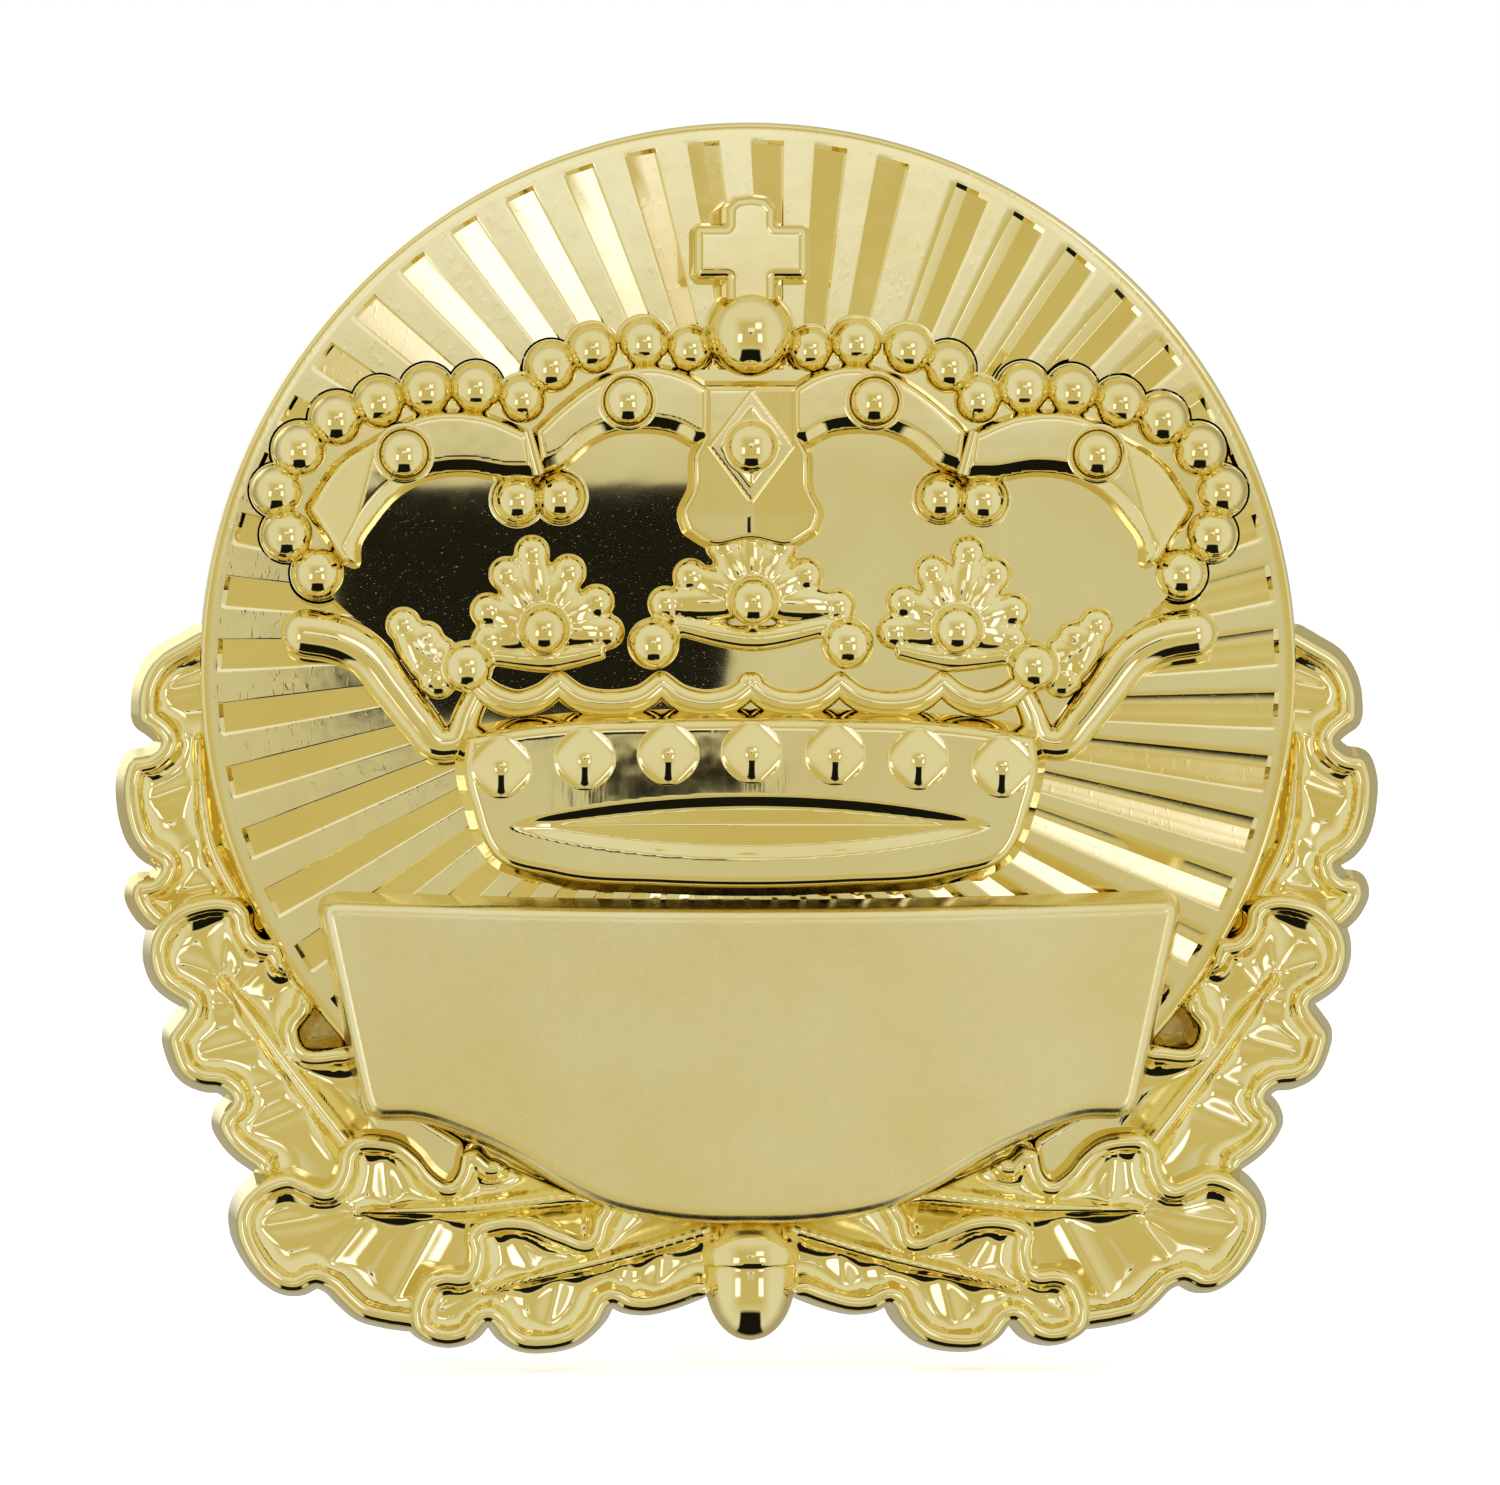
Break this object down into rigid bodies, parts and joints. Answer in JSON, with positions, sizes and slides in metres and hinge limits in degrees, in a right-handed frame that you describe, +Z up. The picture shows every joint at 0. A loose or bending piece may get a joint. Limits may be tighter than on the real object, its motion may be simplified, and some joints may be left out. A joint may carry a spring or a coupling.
{
  "type": "cap badge",
  "caption": "Gilt cap badge: rayed disc, oak-leaf wreath, crown and blank title plaque, held on by screw posts with washers and thumb nuts.",
  "frame": {"origin": "centre of the rayed disc, on the badge's flat back face", "axes": "+X to the viewer's right as the badge is worn and seen from the front, +Z up, the front faces -Y and the screw posts point along +Y"},
  "size_m": [0.0504, 0.018, 0.0494],
  "materials": {
    "gilt_polished": "polished pale gold plate over cast brass",
    "gilt_satin": "satin pale gold plate",
    "gilt_mirror": "flat mirror polish with fine rubbing marks",
    "gilt_back": "plain as-struck plated back",
    "post_brass": "turned and threaded",
    "nut_brass": "turned, knurled edge",
    "washer_steel": "stamped, zinc plated"
  },
  "bodies": {
    "badge": {"back_plate": "gilt_back", "sunburst_disc": "gilt_polished", "upper_leaf_left": "gilt_polished", "upper_leaf_right": "gilt_polished", "side_leaf_left": "gilt_polished", "side_leaf_right": "gilt_polished", "lower_leaf_left": "gilt_polished", "lower_leaf_right": "gilt_polished", "inner_leaf_left": "gilt_polished", "inner_leaf_right": "gilt_polished", "acorn": "gilt_polished", "crown_field": "gilt_mirror", "crown_arches": "gilt_polished", "arch_pearls": "gilt_polished", "arch_jewels": "gilt_polished", "strap_lozenge": "gilt_polished", "orb_and_cross": "gilt_polished", "crown_circlet": "gilt_polished", "circlet_studs": "gilt_polished", "crown_brim": "gilt_polished", "brim_fleurons": "gilt_polished", "title_plaque": "gilt_satin", "layer_pins": "gilt_back", "screw_post_left": "post_brass", "screw_post_right": "post_brass"},
    "washer_left": {"washer_left": "washer_steel"},
    "thumb_nut_left": {"thumb_nut_left": "nut_brass"},
    "washer_right": {"washer_right": "washer_steel"},
    "thumb_nut_right": {"thumb_nut_right": "nut_brass"}
  },
  "joints": [
    {"name": "left_washer_slide", "type": "slide", "parent": "badge", "child": "washer_left", "axis": [0, 1, 0], "range_m": [-0.0013, 0.009]},
    {"name": "left_nut_turn", "type": "hinge", "parent": "washer_left", "child": "thumb_nut_left", "pos_m": [-0.011, 0.00385, 0], "axis": [0, 1, 0], "range_deg": [-936, 6480]},
    {"name": "right_washer_slide", "type": "slide", "parent": "badge", "child": "washer_right", "axis": [0, 1, 0], "range_m": [-0.0013, 0.009]},
    {"name": "right_nut_turn", "type": "hinge", "parent": "washer_right", "child": "thumb_nut_right", "pos_m": [0.011, 0.00385, 0], "axis": [0, 1, 0], "range_deg": [-936, 6480]}
  ],
  "couplings": [
    {"joint": "left_nut_turn", "follows": "left_washer_slide", "rad_per_m": 12566},
    {"joint": "right_nut_turn", "follows": "right_washer_slide", "rad_per_m": 12566}
  ]
}
